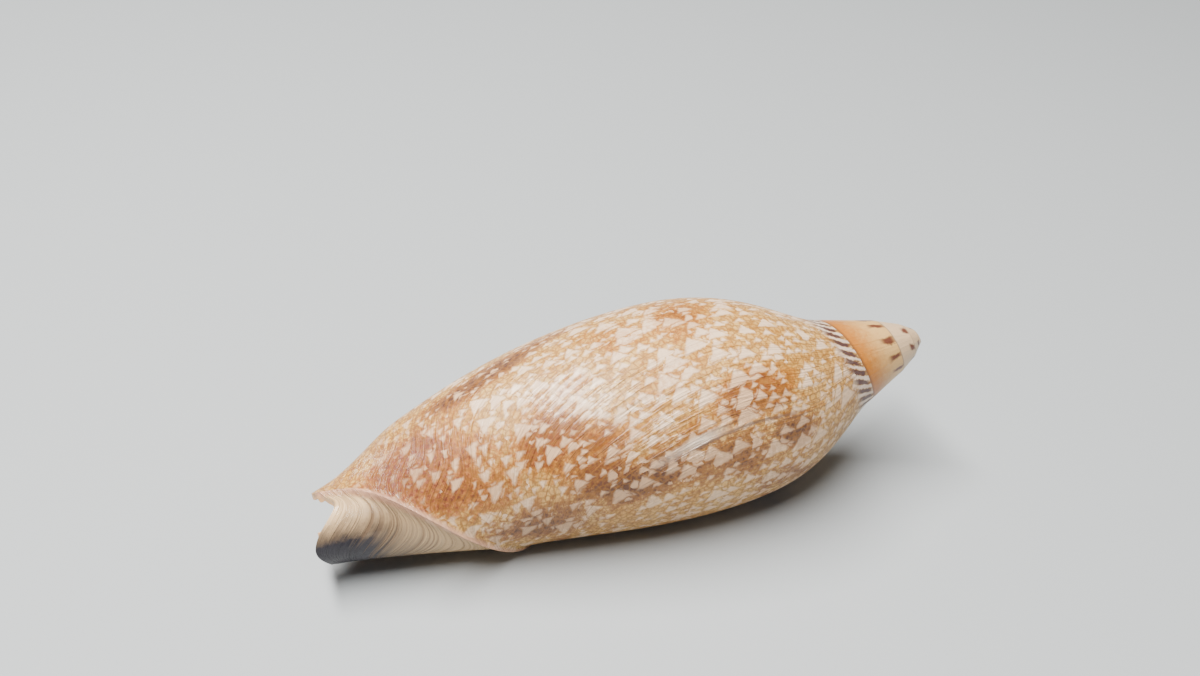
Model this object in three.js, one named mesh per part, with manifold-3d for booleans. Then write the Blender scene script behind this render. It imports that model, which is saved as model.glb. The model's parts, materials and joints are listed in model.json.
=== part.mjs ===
// Volute sea shell, resting on its aperture. Millimetres, +Z up, apex toward +X.
// The shell is described in its own frame first: the coiling axis is a line with the apex
// at 0 and the front end at -LENGTH, and a height a is a fraction of LENGTH from the apex.
// A growth stage t counts turns: t = 0 is the outer lip and t = -1 is one turn earlier.
import * as THREE from 'three';
import Module from 'manifold-3d';

// overall
const LENGTH = 100.0;             // apex to front end
const LIP_AZIMUTH = -35;          // azimuth of the outer lip about the axis, degrees
const LIP_SWEEP = 8;              // S-curve of the lip and of every growth line, degrees
const SWEEP_FROM = 0.16;          // height at which that curve starts
const SWEEP_EASE = 0.25;          // share of the curve over which it sets in
const REST_AZIMUTH = 84.38;       // azimuth of the shell's own frame that points up at rest
const APEX_RAISE = 7.70;          // how far the axis rises toward the apex at rest, degrees

// growth: each value at the lip, and its factor per turn
const SUTURE_AT = 0.192;
const SUTURE_GROWTH = 2.4;
const WIDEST_AT = 0.544;
const WIDEST_GROWTH = 1.754;
const WIDEST_RADIUS = 23.03;
const RADIUS_GROWTH = 1.731;
const RIDGE_GROWTH = 2.054;
const RIDGE_START = -0.245;       // stage at which the front ridge leaves the front edge
const RIDGE_LIMIT = 1.03;         // height past the front edge where the ridge line ends
const SOFT = 0.01;                // height over which the ridge line's limits are rounded
const RIM_MARGIN = 0.02;          // least height left between the ridge line and the front edge

// spire dome, the radius on which every suture lies: DOME_ROUND * sqrt(a) + DOME_CONE * a
const DOME_ROUND = 19.73;
const DOME_CONE = 4.99;
const TIP_RISE = 1.6;             // how far the apex is drawn out, mm
const TIP_REACH = 0.07;           // height over which that fades
const TIP_LEAN = 0.7;             // how far the apex leans to the side that lies uppermost, mm
const LEAN_UP_TO = 0.35;          // height at which the lean starts

// whorl profile
const SETTLE_TURNS = 0.3;         // turns over which the last turn takes its own profile
const SHOULDER_POWER = 2.44;
const SUTURE_HOLLOW = 0.70;
const HOLLOW_REACH = 0.18;
const BASE_POWER = 1.93;
const BASE_TAPER = 1.34;          // how the base draws in at the lip
const BASE_TAPER_BACK = 0.24;     // added to it toward the older part
const BASE_TAPER_TURNS = [0.2, 0.8];
const RIDGE_RADIUS = 9.67;        // half a turn behind the lip
const RIDGE_SHRINK = 0.7;         // factor per turn toward the lip
const RIDGE_TURN = -0.75;         // stage before which the ridge fades into the columella
const RIDGE_FADE = 2.2;
const RIDGE_CORD = 0.45;          // height of the rounded cord on the ridge
const CORD_HALF = 0.007;
const CORD_TURNS = 0.15;          // turns over which the cord rises
const RIDGE_STEP = 0.8;           // how far the surface drops in front of the ridge
const STEP_REACH = 0.008;
const STEP_FADE = 0.09;
const STEP_STAGES = [-0.8, -0.45];
const PILLAR_RADIUS = 1.56;       // columella at the front end
const FRONT_RADIUS = 6.9;         // added to it on the outer side of the front end
const FRONT_STAGES = [-0.85, -0.25];
const FRONT_POWER = 1.3;
const FRONT_DRAW = 0.16;          // share by which the last third of a turn draws in at the front
const FRONT_DRAW_AT = [0.84, 0.97];
const FRONT_DRAW_STAGES = [-0.45, -0.25];

// front edge and the siphonal notch cut back into it, as heights and azimuths
const FRONT_AT_SPUR = 0.995;      // at the pointed spur between the notch and the lip
const LIP_RETREAT = 0.042;        // from the spur to the front corner of the lip
const LIP_RETREAT_AZIMUTHS = [45, 5];
const FRONT_STEP = 0.021;
const FRONT_STEP_AZIMUTHS = [60, 140];
const FRONT_ROUND = 0.018;        // rounds the end of the columella
const FRONT_ROUND_AZIMUTHS = [140, 190];
const FRONT_BACK = 0.014;
const FRONT_BACK_AZIMUTHS = [240, 325];
const FRONT_POLE = 1.004;
const NOTCH_AZIMUTH = 93;
const NOTCH_HALF = 30;
const NOTCH_DEPTH = 0.036;

// wall and hollow
const WALL = 1.7;
const LIP_WALL = 0.8;
const LIP_BEVEL = 0.10;           // turns over which the wall thins toward the lip
const FRONT_THIN = 0.45;          // share of the wall lost toward the front edge
const FRONT_THIN_AT = [0.86, 0.98];
const GLAZE = 0.2;                // callus laid on the turn before
const GLAZE_AT_MOUTH = 0.4;       // share of it that is left in the mouth
const FOLD_HEIGHT = 0.9;          // folds on the columella
const FOLD_HALF = 0.011;
const FOLD_AT = [0.615, 0.675, 0.735, 0.80];
const FOLD_GROWTH = 2.2;
const FOLD_FROM = 0.01;           // turns behind the lip at which the folds start
const FOLD_FADE = 0.07;           // turns over which they rise
const HOLLOW_START = -1.5;
const HOLLOW_END = 0.045;
const TOP_GAP = 0.9;              // width of the hollow where it closes under the suture
const CANAL_FLOOR = [0.80, 2.4];  // height of the hollow's floor at RIDGE_TURN, and its growth
const OLD_FLOOR = [0.643, 3];     // the same one turn back and earlier
const CANAL_END = 1.06;

// grid
const STEPS = 48;                 // per turn
const TURNS = 4.5;
const STRIP_ROWS = 5;             // between two sutures
const SHOULDER_ROWS = 6;
const BASE_ROWS = 10;
const RIM_ROWS = 6;
const RIM_CROWDING = 1.6;         // crowds the rim's rows toward the ridge
const CAP_ROWS = 4;
const OUTER_ROWS = 12;            // on the outer side of the hollow
const OUTER_CROWDING = 0.25;      // crowds them toward the hollow's corners
const FLOOR_SHARES = [1, 0.66, 0.33, 0]; // rows between the hollow's floor and the last fold
const PARIETAL_ROWS = 5;
const ROOT_SEARCH = 40;

const clamp = (x) => Math.min(Math.max(x, 0), 1);
const smooth = (x) => clamp(x) ** 2 * (3 - 2 * clamp(x));
const ramp = (x, [from, to]) => smooth((x - from) / (to - from));
const softMin = (a, b, k) => 0.5 * (a + b - Math.hypot(a - b, k));
const bell = (x, half) => Math.exp(-((x / half) ** 2));
const dome = (a) => DOME_ROUND * Math.sqrt(Math.max(a, 0)) + DOME_CONE * a;

// height and radius of the suture, the widest line and the front ridge at stage t
function lines(t) {
  const suture = SUTURE_AT * SUTURE_GROWTH ** t;
  const widest = WIDEST_AT * WIDEST_GROWTH ** t;
  const widestRadius = WIDEST_RADIUS * RADIUS_GROWTH ** t;
  const ridge = softMin(RIDGE_GROWTH ** (t - RIDGE_START), RIDGE_LIMIT, SOFT);
  const fade = RIDGE_FADE * Math.min(Math.max(t, -1) - RIDGE_TURN, 0) + Math.min(t + 1, 0);
  const ridgeRadius = RIDGE_RADIUS * RIDGE_SHRINK ** (Math.max(t, RIDGE_TURN) + 0.5) * Math.exp(fade);
  return { suture, sutureRadius: dome(suture), widest, widestRadius, ridge, ridgeRadius };
}

// the profile one turn back passes exactly through the suture of the lip
const back = lines(-1);
const STRIP_SHARE = (SUTURE_AT - back.suture) / (back.widest - back.suture);
const STRIP_RISE = (dome(SUTURE_AT) - back.sutureRadius) / (back.widestRadius - back.sutureRadius);
const STRIP_POWER = Math.log(1 - STRIP_RISE) / Math.log(1 - STRIP_SHARE);

// outer radius of the whorl of stage t at height a
function whorl(t, a) {
  const line = lines(t);
  const settle = smooth((t + 1) / SETTLE_TURNS);
  if (a < line.widest) {
    const x = clamp((a - line.suture) / (line.widest - line.suture));
    const power = STRIP_POWER + (SHOULDER_POWER - STRIP_POWER) * settle;
    const ease = (s) => 1 - SUTURE_HOLLOW * settle * Math.exp(-s / HOLLOW_REACH);
    const rise = (1 - (1 - x) ** power) * (ease(x) / ease(1));
    return line.sutureRadius + (line.widestRadius - line.sutureRadius) * rise;
  }
  const cord = RIDGE_CORD * smooth((t + 1) / CORD_TURNS) * bell(a - line.ridge, CORD_HALF);
  const draw = 1 - FRONT_DRAW * ramp(a, FRONT_DRAW_AT) * ramp(t, FRONT_DRAW_STAGES);
  if (a < line.ridge) {
    const x = clamp((a - line.widest) / (line.ridge - line.widest));
    const power = BASE_TAPER + BASE_TAPER_BACK * ramp(-t, BASE_TAPER_TURNS);
    const fall = Math.max(1 - x ** BASE_POWER, 0) ** power;
    return draw * (line.ridgeRadius + (line.widestRadius - line.ridgeRadius) * fall + cord);
  }
  const x = clamp((a - line.ridge) / (RIDGE_LIMIT - line.ridge));
  const end = PILLAR_RADIUS + FRONT_RADIUS * ramp(t, FRONT_STAGES);
  const past = a - line.ridge;
  const drop = (1 - Math.exp(-past / STEP_REACH)) * Math.exp(-past / STEP_FADE);
  const step = RIDGE_STEP * ramp(t, STEP_STAGES) * drop;
  return draw * (end + (line.ridgeRadius - end) * (1 - x) ** FRONT_POWER + cord - step);
}

// azimuth of stage t at height a: the lip swings forward under the suture and back below
function azimuth(t, a) {
  const x = clamp((a - SWEEP_FROM) / (1 - SWEEP_FROM));
  return LIP_AZIMUTH - 360 * t - LIP_SWEEP * Math.sin(2 * Math.PI * x) * ramp(x, [0, SWEEP_EASE]);
}

// point in the shell's own frame, with the spire's tip drawn out and leaning
function place(t, a, r) {
  const phi = THREE.MathUtils.degToRad(azimuth(t, a));
  const side = THREE.MathUtils.degToRad(REST_AZIMUTH);
  const lean = TIP_LEAN * ramp(a, [LEAN_UP_TO, 0]);
  const x = r * Math.cos(phi) + lean * Math.cos(side);
  const y = r * Math.sin(phi) + lean * Math.sin(side);
  return [x, y, TIP_RISE * Math.exp(-a / TIP_REACH) - a * LENGTH];
}

// height of the front edge
function frontEdge(t) {
  const phi = LIP_AZIMUTH - 360 * t;
  const lip = FRONT_AT_SPUR - LIP_RETREAT * ramp(phi, LIP_RETREAT_AZIMUTHS);
  const end = FRONT_STEP * ramp(phi, FRONT_STEP_AZIMUTHS) - FRONT_ROUND * ramp(phi, FRONT_ROUND_AZIMUTHS);
  const notch = NOTCH_DEPTH * bell(phi - NOTCH_AZIMUTH, NOTCH_HALF);
  return lip + end - FRONT_BACK * ramp(phi, FRONT_BACK_AZIMUTHS) - notch;
}

// suture height on the grid: the spire starts as a point and takes one turn to grow full
const START = -TURNS;
const sutureLine = (t) => lines(t).suture * smooth(t - START - 1);

// triangles that fill a ring of vertices across the whorl, wound as the ring runs
function fillRing(ring, positions) {
  const outline = ring.map((v) => {
    const [x, y, z] = positions[v];
    return new THREE.Vector2(Math.hypot(x, y), z);
  });
  const faces = THREE.ShapeUtils.triangulateShape(outline, []);
  const turn = (points) => Math.sign(THREE.ShapeUtils.area(points));
  const same = turn(faces[0].map((v) => outline[v])) === turn(outline);
  return faces.map(([a, b, c]) => (same ? [ring[a], ring[b], ring[c]] : [ring[a], ring[c], ring[b]]));
}

function surface(positions, triangles) {
  const geometry = new THREE.BufferGeometry();
  geometry.setAttribute('position', new THREE.Float32BufferAttribute(positions.flat(), 3));
  geometry.setIndex(triangles.flat());
  return geometry;
}

// height and radius of grid row j at stage t, on a spire strip or on the last turn
function gridPoint(t, j, onBody) {
  if (!onBody) {
    const from = sutureLine(t);
    const to = sutureLine(t + 1);
    const y = j / STRIP_ROWS;
    const rise = (1 - (1 - STRIP_SHARE * y) ** STRIP_POWER) / STRIP_RISE;
    return [from + (to - from) * y, dome(from) + (dome(to) - dome(from)) * rise];
  }
  const line = lines(t);
  if (j <= STRIP_ROWS + SHOULDER_ROWS) {
    const past = Math.max(j - STRIP_ROWS, 0) / SHOULDER_ROWS;
    const y = STRIP_SHARE * Math.min(j / STRIP_ROWS, 1) + (1 - STRIP_SHARE) * past;
    const a = line.suture + (line.widest - line.suture) * y;
    return [a, whorl(t, a)];
  }
  const edge = frontEdge(t);
  const split = softMin(line.ridge, edge - RIM_MARGIN, SOFT);
  const below = j - STRIP_ROWS - SHOULDER_ROWS;
  const a = below <= BASE_ROWS
    ? line.widest + (split - line.widest) * (below / BASE_ROWS)
    : split + (edge - split) * ((below - BASE_ROWS) / RIM_ROWS) ** RIM_CROWDING;
  return [a, whorl(t, a)];
}

// The body without its hollow: one spiral surface from the apex to the lip, closed by the
// front cap and by the wall that stands in the mouth.
function shellBody() {
  const total = STEPS * TURNS;
  const bodyFrom = total - STEPS;
  const apex = 0;
  const positions = [place(START, 0, 0)];
  const add = (p) => positions.push(p) - 1;
  const frontPole = add([0, 0, -FRONT_POLE * LENGTH]);
  const rows = STRIP_ROWS + SHOULDER_ROWS + BASE_ROWS + RIM_ROWS;
  const grid = [];
  for (let i = 0; i <= total; i += 1) {
    const t = START + i / STEPS;
    const onBody = i >= bodyFrom;
    const column = [i <= STEPS ? apex : add(place(t, ...gridPoint(t, 0, onBody)))];
    for (let j = 1; j <= (onBody ? rows : STRIP_ROWS); j += 1) {
      const shared = i === 0 || (j === STRIP_ROWS && i <= bodyFrom);
      column[j] = shared ? apex : add(place(t, ...gridPoint(t, j, onBody)));
    }
    if (onBody) {
      const edge = frontEdge(t);
      for (let c = 1; c < CAP_ROWS; c += 1) {
        const s = c / CAP_ROWS;
        column.push(add(place(t, edge + (FRONT_POLE - edge) * smooth(s), whorl(t, edge) * (1 - s))));
      }
      column.push(frontPole);
    }
    grid.push(column);
  }
  // the lower edge of each strip is the suture of the turn after it
  for (let i = 1; i <= bodyFrom; i += 1) {
    grid[i][STRIP_ROWS] = grid[i + STEPS][0];
  }
  const triangles = [];
  const put = (a, b, c) => {
    if (a !== b && b !== c && a !== c) {
      triangles.push([a, b, c]);
    }
  };
  for (let i = 0; i < total; i += 1) {
    for (let j = 0; j + 1 < grid[i].length; j += 1) {
      put(grid[i][j], grid[i + 1][j], grid[i + 1][j + 1]);
      put(grid[i][j], grid[i + 1][j + 1], grid[i][j + 1]);
    }
  }
  // the wall in the mouth, between the lip profile and the surface one turn back
  const lip = grid[total];
  const inner = grid[bodyFrom].slice(STRIP_ROWS + 1, -1);
  triangles.push(...fillRing([...inner, ...[...lip].reverse()], positions));
  return surface(positions, triangles);
}

// outer side of the hollow: the whorl less its wall, which thins at the lip and the front
function hollowOuter(t, a) {
  const wall = WALL + (LIP_WALL - WALL) * ramp(t, [-LIP_BEVEL, 0]);
  return whorl(t, a) - wall * (1 - FRONT_THIN * ramp(a, FRONT_THIN_AT));
}

// inner side: the surface of the turn before under its callus, and the columella's folds
function hollowInner(t, a) {
  const inside = smooth((-t - FOLD_FROM) / FOLD_FADE);
  const folds = FOLD_AT.map((at) => bell(a - at * FOLD_GROWTH ** t, FOLD_HALF));
  return whorl(t - 1, a) + GLAZE * (GLAZE_AT_MOUTH + (1 - GLAZE_AT_MOUTH) * inside) + FOLD_HEIGHT * Math.max(...folds) * inside;
}

// height at which the hollow closes under the suture
function hollowTop(t) {
  let low = lines(t).suture;
  let high = lines(t).widest;
  for (let n = 0; n < ROOT_SEARCH; n += 1) {
    const middle = 0.5 * (low + high);
    if (hollowOuter(t, middle) - hollowInner(t, middle) > TOP_GAP) {
      high = middle;
    } else {
      low = middle;
    }
  }
  return high;
}

// The hollow of the whorl: a tube carried along growth, open past the lip and past the
// front edge of the last half turn.
function hollow() {
  const count = Math.round((HOLLOW_END - HOLLOW_START) * STEPS);
  const positions = [];
  const loops = [];
  for (let i = 0; i <= count; i += 1) {
    const t = HOLLOW_START + (HOLLOW_END - HOLLOW_START) * (i / count);
    const top = hollowTop(t);
    const bottom = t > -1
      ? Math.min(CANAL_END, CANAL_FLOOR[0] * CANAL_FLOOR[1] ** (t - RIDGE_TURN))
      : OLD_FLOOR[0] * OLD_FLOOR[1] ** (t + 1);
    const loop = [];
    for (let j = 0; j <= OUTER_ROWS; j += 1) {
      const s = j / OUTER_ROWS;
      const a = top + (bottom - top) * ((1 - OUTER_CROWDING) * s + OUTER_CROWDING * smooth(s));
      loop.push(place(t, a, hollowOuter(t, a)));
    }
    // rows on each fold's crest and in the groove before it
    const folds = FOLD_AT.map((at) => at * FOLD_GROWTH ** t);
    const half = 0.5 * (folds[1] - folds[0]);
    const lastGroove = folds[folds.length - 1] + half;
    const heights = FLOOR_SHARES.map((s) => lastGroove + (bottom - lastGroove) * s);
    for (const crest of [...folds].reverse()) {
      heights.push(crest, crest - half);
    }
    const firstGroove = folds[0] - half;
    for (let j = 1; j <= PARIETAL_ROWS; j += 1) {
      heights.push(firstGroove + (top - firstGroove) * (j / PARIETAL_ROWS));
    }
    loop.push(...heights.map((a) => place(t, a, hollowInner(t, a))));
    loops.push(loop.map((p) => positions.push(p) - 1));
  }
  const size = loops[0].length;
  const triangles = [];
  for (let i = 0; i < count; i += 1) {
    for (let j = 0; j < size; j += 1) {
      const next = (j + 1) % size;
      triangles.push([loops[i][j], loops[i + 1][j], loops[i + 1][next]]);
      triangles.push([loops[i][j], loops[i + 1][next], loops[i][next]]);
    }
  }
  triangles.push(...fillRing(loops[0], positions));
  triangles.push(...fillRing([...loops[count]].reverse(), positions));
  return surface(positions, triangles);
}

// turns the shell from its own frame into the pose in which it rests
function restMatrix() {
  const up = THREE.MathUtils.degToRad(REST_AZIMUTH);
  const raise = THREE.MathUtils.degToRad(APEX_RAISE);
  const z = new THREE.Vector3(Math.cos(up) * Math.cos(raise), Math.sin(up) * Math.cos(raise), Math.sin(raise));
  const x = new THREE.Vector3(0, 0, 1).addScaledVector(z, -z.z).normalize();
  const y = new THREE.Vector3().crossVectors(z, x);
  return new THREE.Matrix4().makeBasis(x, y, z).transpose();
}

const wasm = await Module();
wasm.setup();
const solid = (geometry) => new wasm.Manifold(new wasm.Mesh({
  numProp: 3,
  vertProperties: new Float32Array(geometry.attributes.position.array),
  triVerts: new Uint32Array(geometry.index.array),
}));
const cut = solid(shellBody()).subtract(solid(hollow())).getMesh();

const geometry = new THREE.BufferGeometry();
geometry.setAttribute('position', new THREE.BufferAttribute(new Float32Array(cut.vertProperties), 3));
geometry.setIndex(new THREE.BufferAttribute(new Uint32Array(cut.triVerts), 1));
geometry.applyMatrix4(restMatrix());
geometry.computeBoundingBox();
const box = geometry.boundingBox;
geometry.translate(-(box.min.x + box.max.x) / 2, -(box.min.y + box.max.y) / 2, -box.min.z);
geometry.computeVertexNormals();

const shell = new THREE.Mesh(
  geometry,
  new THREE.MeshStandardMaterial({ color: 0xe0c9a0, roughness: 0.25, metalness: 0 }),
);
shell.name = 'shell';
const group = new THREE.Group();
group.name = 'volute_shell';
group.add(shell);

export default group;
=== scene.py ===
# %% [markdown]
# # A volute shell, lying on its aperture
# A sea snail builds its shell by adding lime to the lip while it turns round one axis. Every
# line on the shell, such as the suture or the widest line, is therefore a spiral that grows by
# a fixed factor per turn. The whole shell is one piece here too. It could be sculpted by hand,
# but the growth formula gives the spire, the body whorl and the inside of the mouth at once,
# and it gives the directions along which the colour marks lie.

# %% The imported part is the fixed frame
import json

import bmesh
import bpy
import numpy as np
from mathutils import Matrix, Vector

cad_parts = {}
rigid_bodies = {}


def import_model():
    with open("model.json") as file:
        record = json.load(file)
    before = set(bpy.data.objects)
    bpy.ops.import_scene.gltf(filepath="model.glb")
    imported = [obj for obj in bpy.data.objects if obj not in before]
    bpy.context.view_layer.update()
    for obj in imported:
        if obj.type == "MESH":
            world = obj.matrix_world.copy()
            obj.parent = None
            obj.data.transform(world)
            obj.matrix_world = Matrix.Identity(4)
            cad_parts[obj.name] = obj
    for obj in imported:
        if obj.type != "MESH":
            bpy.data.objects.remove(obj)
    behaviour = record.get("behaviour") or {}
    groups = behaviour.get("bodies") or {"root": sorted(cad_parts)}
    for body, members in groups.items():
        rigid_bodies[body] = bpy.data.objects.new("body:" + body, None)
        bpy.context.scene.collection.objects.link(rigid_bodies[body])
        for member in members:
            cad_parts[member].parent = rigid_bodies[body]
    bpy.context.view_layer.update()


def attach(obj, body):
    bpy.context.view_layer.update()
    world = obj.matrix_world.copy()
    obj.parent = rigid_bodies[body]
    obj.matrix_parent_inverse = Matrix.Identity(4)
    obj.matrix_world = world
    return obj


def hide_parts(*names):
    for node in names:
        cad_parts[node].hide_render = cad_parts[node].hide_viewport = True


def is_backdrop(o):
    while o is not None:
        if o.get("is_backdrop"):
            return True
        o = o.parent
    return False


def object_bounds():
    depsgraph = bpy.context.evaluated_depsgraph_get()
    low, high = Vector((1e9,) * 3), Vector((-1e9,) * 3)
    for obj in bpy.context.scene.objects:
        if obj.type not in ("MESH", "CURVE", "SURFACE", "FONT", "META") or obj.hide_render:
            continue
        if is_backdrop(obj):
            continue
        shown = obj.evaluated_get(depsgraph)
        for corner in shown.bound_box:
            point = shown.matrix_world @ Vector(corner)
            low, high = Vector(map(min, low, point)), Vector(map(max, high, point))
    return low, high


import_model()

# %% [markdown]
# ## Growth measures
# The shell is described in its own frame, in millimetres: the axis is a line with the apex at
# 0 and the front end at -100. A height a is a fraction of that length, counted from the apex.
# A stage t counts turns, with the outer lip at 0 and the place one turn earlier at -1.

# %% Measures of the growing shell
LENGTH = 100.0  # of the axis, in mm
LIP_AZIMUTH = -35.0  # of the outer lip about the axis, in degrees
SUTURE_AT, SUTURE_GROWTH = 0.192, 2.4  # height at the lip, and its factor per turn
WIDEST_AT, WIDEST_GROWTH = 0.544, 1.754
WIDEST_RADIUS, RADIUS_GROWTH = 23.03, 1.731
RIDGE_GROWTH, RIDGE_START, RIDGE_LIMIT = 2.054, -0.245, 1.03
RIDGE_RADIUS, RIDGE_RADIUS_AT, RIDGE_SHRINK = 9.67, -0.5, 0.7
RIDGE_TURN, RIDGE_FADE = -0.75, 2.2  # where the ridge starts to sink into the columella
SOFT = 0.01  # height over which the limits of the ridge line are rounded
DOME_ROUND, DOME_CONE = 19.73, 4.99  # in mm of radius
print("each turn multiplies the widest radius by", RADIUS_GROWTH)

# %% Steps, curves and spiral lines


def smooth(x):
    """0 below 0, 1 above 1, and three x squared less two x cubed between."""
    x = np.clip(x, 0, 1)
    return x * x * (3 - 2 * x)


def ramp(x, low, high):
    """The smooth step from low to high."""
    return smooth((x - low) / (high - low))


def soft_min(a, b, k):
    """The smaller of two values, rounded over a width k where they cross."""
    return 0.5 * (a + b - np.hypot(a - b, k))


def bell(x, half):
    """A bell curve of height 1."""
    return np.exp(-((x / half) ** 2))


def dome(a):
    """Radius of the spire at height a: a round term in the root of a and a straight cone."""
    return DOME_ROUND * np.sqrt(np.maximum(a, 0)) + DOME_CONE * a


def lines(t):
    """Height and radius of the suture, the widest line and the front ridge, each a value at the
    lip times its factor to the power of t."""
    suture = SUTURE_AT * SUTURE_GROWTH ** t
    widest = WIDEST_AT * WIDEST_GROWTH ** t
    widest_radius = WIDEST_RADIUS * RADIUS_GROWTH ** t
    ridge = soft_min(RIDGE_GROWTH ** (t - RIDGE_START), RIDGE_LIMIT, SOFT)
    fade = RIDGE_FADE * np.minimum(np.maximum(t, -1) - RIDGE_TURN, 0) + np.minimum(t + 1, 0)
    shrink = RIDGE_SHRINK ** (np.maximum(t, RIDGE_TURN) - RIDGE_RADIUS_AT)
    ridge_radius = RIDGE_RADIUS * shrink * np.exp(fade)
    return suture, dome(suture), widest, widest_radius, ridge, ridge_radius


# the part of the profile that stays in sight once the next turn covers the rest
suture_b, radius_b, widest_b, widest_radius_b = [float(v) for v in lines(-1.0)[:4]]
STRIP_SHARE = (SUTURE_AT - suture_b) / (widest_b - suture_b)
STRIP_RISE = (float(dome(SUTURE_AT)) - radius_b) / (widest_radius_b - radius_b)
STRIP_POWER = np.log(1 - STRIP_RISE) / np.log(1 - STRIP_SHARE)
print("suture radius at the lip in mm:", round(float(dome(SUTURE_AT)), 2))

# %% [markdown]
# ## The outside as one formula
# On a real shell the outside is wherever the lip once stood. So its radius can be written as a
# function of two parameters: the stage of growth, and the height along the axis. A mesh could
# also be pushed and pulled into this form by eye, but then the spire, the mouth and the front
# wouldn't be made by the same law, and nothing else could be worked out from it.

# %% Measures of the whorl's profile
SETTLE_TURNS = 0.3  # turns over which the last turn takes its own profile
SHOULDER_POWER, SUTURE_HOLLOW, HOLLOW_REACH = 2.44, 0.70, 0.18
BASE_POWER, BASE_TAPER = 1.93, 1.34
BASE_TAPER_BACK, BASE_TAPER_TURNS = 0.24, (0.2, 0.8)  # added to it toward the older part
RIDGE_CORD, CORD_HALF, CORD_TURNS = 0.45, 0.007, 0.15  # rounded cord on the ridge
RIDGE_STEP, STEP_REACH, STEP_FADE, STEP_STAGES = 0.8, 0.008, 0.09, (-0.8, -0.45)
PILLAR_RADIUS, FRONT_RADIUS, FRONT_STAGES = 1.56, 6.9, (-0.85, -0.25)
FRONT_POWER = 1.3
FRONT_DRAW, FRONT_DRAW_AT, FRONT_DRAW_STAGES = 0.16, (0.84, 0.97), (-0.45, -0.25)
print("height of the step in front of the ridge in mm:", RIDGE_STEP)

# %% Outer surface of the whorl


def whorl(t, a):
    """Radius of stage t at height a. Shoulder: 1 less (1 - x) to a power, hollowed beside the
    suture. Base: (1 less x to a power) to a power. Front: a falling power to the pillar."""
    t, a = np.broadcast_arrays(np.asarray(t, float), np.asarray(a, float))
    suture, suture_radius, widest, widest_radius, ridge, ridge_radius = lines(t)
    settle = smooth((t + 1) / SETTLE_TURNS)
    x = np.clip((a - suture) / (widest - suture), 0, 1)
    power = STRIP_POWER + (SHOULDER_POWER - STRIP_POWER) * settle
    ease = 1 - SUTURE_HOLLOW * settle * np.exp(-x / HOLLOW_REACH)
    ease_full = 1 - SUTURE_HOLLOW * settle * np.exp(-1 / HOLLOW_REACH)
    swell = (widest_radius - suture_radius) * (1 - (1 - x) ** power)
    shoulder = suture_radius + swell * ease / ease_full
    cord = RIDGE_CORD * smooth((t + 1) / CORD_TURNS) * bell(a - ridge, CORD_HALF)
    draw = 1 - FRONT_DRAW * ramp(a, *FRONT_DRAW_AT) * ramp(t, *FRONT_DRAW_STAGES)
    x = np.clip((a - widest) / (ridge - widest), 0, 1)
    taper = BASE_TAPER + BASE_TAPER_BACK * ramp(-t, *BASE_TAPER_TURNS)
    bulge = np.maximum(1 - x ** BASE_POWER, 0) ** taper
    base = ridge_radius + (widest_radius - ridge_radius) * bulge
    x = np.clip((a - ridge) / (RIDGE_LIMIT - ridge), 0, 1)
    end = PILLAR_RADIUS + FRONT_RADIUS * ramp(t, *FRONT_STAGES)
    past = np.maximum(a - ridge, 0)
    step = RIDGE_STEP * ramp(t, *STEP_STAGES)
    step = step * (1 - np.exp(-past / STEP_REACH)) * np.exp(-past / STEP_FADE)
    front = end + (ridge_radius - end) * (1 - x) ** FRONT_POWER - step
    return np.where(a < widest, shoulder, draw * (np.where(a < ridge, base, front) + cord))


print("radius half way along the last turn in mm:", round(float(whorl(-0.5, 0.5)), 2))

# %% [markdown]
# ## The lip, the tip and the front edge
# The lip isn't straight: it swings forward under the suture and back below it, and so does each
# growth line, because each was the lip once. The tip of the spire is drawn out and leans a
# little. At the front the edge steps back from a blunt spur and dips at the notch, through which
# the animal's siphon ran. They could be moved by hand in the finished mesh. As formulas of
# height and azimuth they also hold for the hollow and for the colour marks.

# %% The lip, the leaning tip and the front edge
LIP_SWEEP, SWEEP_FROM, SWEEP_EASE = 8.0, 0.16, 0.25
REST_AZIMUTH, APEX_RAISE = 84.38, 7.70  # side that lies uppermost, and how far the apex is raised
TIP_RISE, TIP_REACH, TIP_LEAN, LEAN_UP_TO = 1.6, 0.07, 0.7, 0.35
FRONT_POLE, FRONT_AT_SPUR = 1.004, 0.995
FRONT_STEPS = [  # share of the length, and the azimuths between which it is reached
    (-0.042, 45, 5), (0.021, 60, 140), (-0.018, 140, 190), (-0.014, 240, 325),
]
NOTCH_AZIMUTH, NOTCH_HALF, NOTCH_DEPTH = 93.0, 30.0, 0.036


def sweep(a):
    """Degrees by which the lip swings forward under the suture and back below: a sine along a."""
    x = np.clip((a - SWEEP_FROM) / (1 - SWEEP_FROM), 0, 1)
    return LIP_SWEEP * np.sin(2 * np.pi * x) * ramp(x, 0, SWEEP_EASE)


def tip_lean(a):
    """How far the spire leans at height a, in mm along x and y: a smooth step toward one side."""
    side = np.radians(REST_AZIMUTH)
    return TIP_LEAN * ramp(-a, -LEAN_UP_TO, 0)[..., None] * np.array([np.cos(side), np.sin(side)])


def place(t, a, r):
    """Point at stage t, height a and radius r, in the shell's own frame, with the tip drawn out."""
    t, a, r = np.broadcast_arrays(t, a, r)
    phi = np.radians(LIP_AZIMUTH - 360 * t - sweep(a))
    across = r[..., None] * np.stack([np.cos(phi), np.sin(phi)], -1) + tip_lean(a)
    down = TIP_RISE * np.exp(-a / TIP_REACH) - a * LENGTH
    return np.concatenate([across, down[..., None]], -1)


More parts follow.
